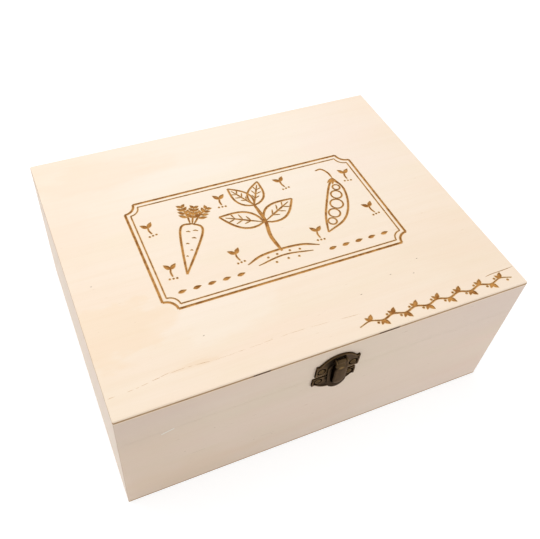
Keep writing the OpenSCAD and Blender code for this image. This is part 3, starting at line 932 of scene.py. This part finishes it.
lidSetup = {
    "size": (250, 198), "top": 100.0, "bottom": 97.4, "round": 0.9, "leastRound": 0.05,
    "roundSteps": 5, "burn": 0.3, "smoke": 0.35,
    # hair checks near the front edge: points, width and seed
    "hairs": ((((-123.5, -85.7), (-109, -85.1), (-98, -83.3), (-82, -82.1), (-66, -83.3)), 0.3, 3),
              (((-66, -83.3), (-40, -82.6), (-15, -82), (20, -84)), 0.24, 5)),
    # an open check at the right: points, width and taper
    "check": (((103, -86.7), (108, -86.1), (116, -86.0), (123.9, -85.6)), 0.5, 0.2),
    "flecks": ((72.7, -59.9), (51.2, -65.3), (64.7, -69.1),
               (27.6, -72.3), (-66, -67), (-113.2, -13.7)),
    "fleck": (0.5, 0.03, 0.42, 0.6),  # half length, bend, width, taper
    "join": 1e-4,
}
lidSkins = (lidPly, toasted, charred, smoked, checked, pitted, hairline)
sliverSetup = {
    # points in a sliver and in the gap after it, how far it and its points stray, the share of
    # slivers that show, and their widths as shares
    "run": (2, 6), "gap": (0, 2), "stray": 0.22, "shake": 0.08, "shown": 0.8, "widths": (0.45, 1.1),
}


def brokenLine(points, width, seed):
    # a check in the veneer: short slivers with gaps, never quite in line
    chance = random.Random(seed)
    stray, shake = sliverSetup["stray"], sliverSetup["shake"]
    line, shapes, i = curve(points, 12), [], 0
    while i < len(line) - 3:
        run = chance.randint(*sliverSetup["run"])
        drift = Vector((0, chance.uniform(-stray, stray)))
        part = [p + drift + Vector((0, chance.uniform(-shake, shake))) for p in line[i:i + run + 1]]
        if len(part) > 2 and chance.random() < sliverSetup["shown"]:
            shapes.append(ribbon(part, width * chance.uniform(*sliverSetup["widths"]), 0.25))
        i += run + chance.randint(*sliverSetup["gap"])
    return shapes


def outlineLoop(inset):
    radius = max(lidSetup["round"] - inset, lidSetup["leastRound"])
    loop = []
    for q, (sx, sy) in enumerate(((1, 1), (-1, 1), (-1, -1), (1, -1))):
        centre = [s * (size / 2 - inset - radius) for s, size in zip((sx, sy), lidSetup["size"])]
        loop += [onCircle(centre, radius, math.pi / 2 * (q + k / 4)) for k in range(5)]
    return loop


def lidMarks():
    # every mark in the lid's face, as its outline and finish
    art = burntArt()
    smoke = [widened(s, lidSetup["smoke"]) for s in art]
    points, width, taper = lidSetup["check"]
    checks = [ribbon(curve(points), width, taper)]
    half, bend, width, taper = lidSetup["fleck"]
    flecks = [ribbon([Vector((x - half, y)), Vector((x, y + bend)), Vector((x + half, y))],
                     width, taper) for x, y in lidSetup["flecks"]]
    hairs = [s for hair in lidSetup["hairs"] for s in brokenLine(*hair)]
    marks = ((art, toasted), (smoke, smoked), (checks, checked), (flecks, pitted),
             (hairs, hairline))
    return [(fits(s), skin) for shapes, skin in marks for s in shapes]


def carvedTop(mesh, top):
    # the flat top inside its outline, with the marks in it and the burnt lines sunk
    coords, outlines = list(top), [list(range(len(top)))]
    kinds = [lidSkins.index(lidPly)]  # each outline's place in lidSkins
    for shape, skin in lidMarks():
        outlines.append([len(coords) + i for i in range(len(shape))])
        coords += shape
        kinds.append(lidSkins.index(skin))
    found = geometry.delaunay_2d_cdt(coords, [], outlines, 1, lidSetup["join"], True)
    verts, tris, owners = found[0], found[2], found[5]
    made = [mesh.verts.new((v.x * mm, v.y * mm, lidSetup["top"] * mm)) for v in verts]
    burnt = []
    for tri, owner in zip(tris, owners):
        if 0 not in owner:
            continue  # beyond the panel's edge
        try:
            face = mesh.faces.new([made[i] for i in tri])
        except ValueError:
            continue
        inside = [kinds[o] for o in owner]
        if lidSkins.index(toasted) in inside:
            burnt.append(face)
        else:
            face.material_index = max(inside)
    # the triangulation keeps the outline's own points
    rim = [min(made, key=lambda v: (v.co.x / mm - want.x) ** 2 + (v.co.y / mm - want.y) ** 2)
           for want in top]
    lowered = bmesh.ops.extrude_face_region(mesh, geom=burnt)["geom"]
    bmesh.ops.delete(mesh, geom=burnt, context="FACES")
    for part in lowered:
        if isinstance(part, bmesh.types.BMVert):
            part.co.z -= lidSetup["burn"] * mm
        elif isinstance(part, bmesh.types.BMFace):
            part.material_index = lidSkins.index(toasted)
    mesh.normal_update()
    for face in mesh.faces:
        if abs(face.normal.z) < 0.5:  # the walls of the burnt lines
            face.material_index = lidSkins.index(charred)
    return rim


def carvedLid():
    mesh, r = bmesh.new(), lidSetup["round"]
    rim = carvedTop(mesh, outlineLoop(r - lidSetup["leastRound"]))
    turns = [math.pi / 2 * k / lidSetup["roundSteps"] for k in range(1, lidSetup["roundSteps"] + 1)]
    levels = [(r * (1 - math.sin(a)), lidSetup["top"] - r * (1 - math.cos(a))) for a in turns]
    levels.append((0, lidSetup["bottom"]))
    loops = [rim] + [[mesh.verts.new((p.x * mm, p.y * mm, z * mm)) for p in outlineLoop(inset)]
                     for inset, z in levels]
    joinLoops(mesh, loops[::-1])
    mesh.faces.new(loops[-1][::-1])
    bmesh.ops.recalc_face_normals(mesh, faces=mesh.faces)
    data = bpy.data.meshes.new("carved_lid_panel")
    mesh.to_mesh(data)
    mesh.free()
    for material in lidSkins:
        data.materials.append(material)
    piece = addObject("carved_lid_panel", data)
    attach(piece, "lid")
    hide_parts("lid_panel")
    print("lid carved:", len(data.polygons), "faces")


carvedLid()


floorHalf, floorLevel = 12, -0.0002  # metres
floorCorners = [(sx * floorHalf, sy * floorHalf, floorLevel)
                for sx, sy in ((-1, -1), (1, -1), (1, 1), (-1, 1))]
floorMesh = bpy.data.meshes.new("floor")
floorMesh.from_pydata(floorCorners, [], [(0, 1, 2, 3)])
floorPlane = addObject("floor", floorMesh)


def seenDirectly(tree):
    # 1 for rays from the camera, also by way of a mirror or glass
    path = addNode(tree, "ShaderNodeLightPath").outputs
    seen = path["Is Camera Ray"]
    for kind in ("Is Glossy Ray", "Is Transmission Ray"):
        seen = addNode(tree, "ShaderNodeMath", links={0: seen, 1: path[kind]},
                       operation="MAXIMUM").outputs[0]
    return seen


# white paper backdrop: seen as white with the box's own soft shadow, matt for all other light
paperSetup = {"matt": "#EEEEEE", "faint": "#A8A8A8", "glow": 0.74}
paper, tree = newMaterial("mattWhitePaper")
matt, faint = [addNode(tree, "ShaderNodeBsdfDiffuse", {"Color": linearColour(paperSetup[shade])})
               for shade in ("matt", "faint")]
glow = addNode(tree, "ShaderNodeEmission", {"Strength": paperSetup["glow"]})
seen = addNode(tree, "ShaderNodeAddShader", links={0: glow.outputs[0], 1: faint.outputs[0]})
both = addNode(tree, "ShaderNodeMixShader",
               links={0: seenDirectly(tree), 1: matt.outputs[0], 2: seen.outputs[0]})
addNode(tree, "ShaderNodeOutputMaterial", links={"Surface": both.outputs[0]})
floorMesh.materials.append(paper)

# an even white room: its light on the box, and paper white where it is seen
roomLight, roomSeen = 0.59, 1.0
studio = bpy.data.worlds.new("studio")
studio.use_nodes = True
tree = studio.node_tree
tree.nodes.clear()
soft, plain = [addNode(tree, "ShaderNodeBackground", {"Color": (1, 1, 1, 1), "Strength": strength})
               for strength in (roomLight, roomSeen)]
both = addNode(tree, "ShaderNodeMixShader",
               links={0: seenDirectly(tree), 1: soft.outputs[0], 2: plain.outputs[0]})
addNode(tree, "ShaderNodeOutputWorld", links={"Surface": both.outputs[0]})
scene.world = studio

lamps = {  # place and size in metres, power in watts
    "overhead": {"place": (-0.22, 0.42, 1.1), "size": 1.1, "power": 7.9, "colour": "#F4F8FF"},
    "leftSide": {"place": (-1.3, -0.05, 0.6), "size": 1.0, "power": 1.6, "colour": "#EAF2FF"},
    "rightFront": {"place": (0.45, -0.47, 0.12), "size": 0.35, "power": 0.5, "colour": "#ECF2FF"},
}
lampAim = Vector((0, 0, 0.06))
for name, lamp in lamps.items():
    data = bpy.data.lights.new(name, "AREA")
    data.size, data.energy = lamp["size"], lamp["power"]
    data.color = linearColour(lamp["colour"])[:3]
    lampObject = addObject(name, data)
    lampObject.location = lamp["place"]
    aim = lampAim - Vector(lamp["place"])
    lampObject.rotation_euler = aim.to_track_quat("-Z", "Y").to_euler()
    lampObject.visible_camera = False
print("floor and lamps placed")
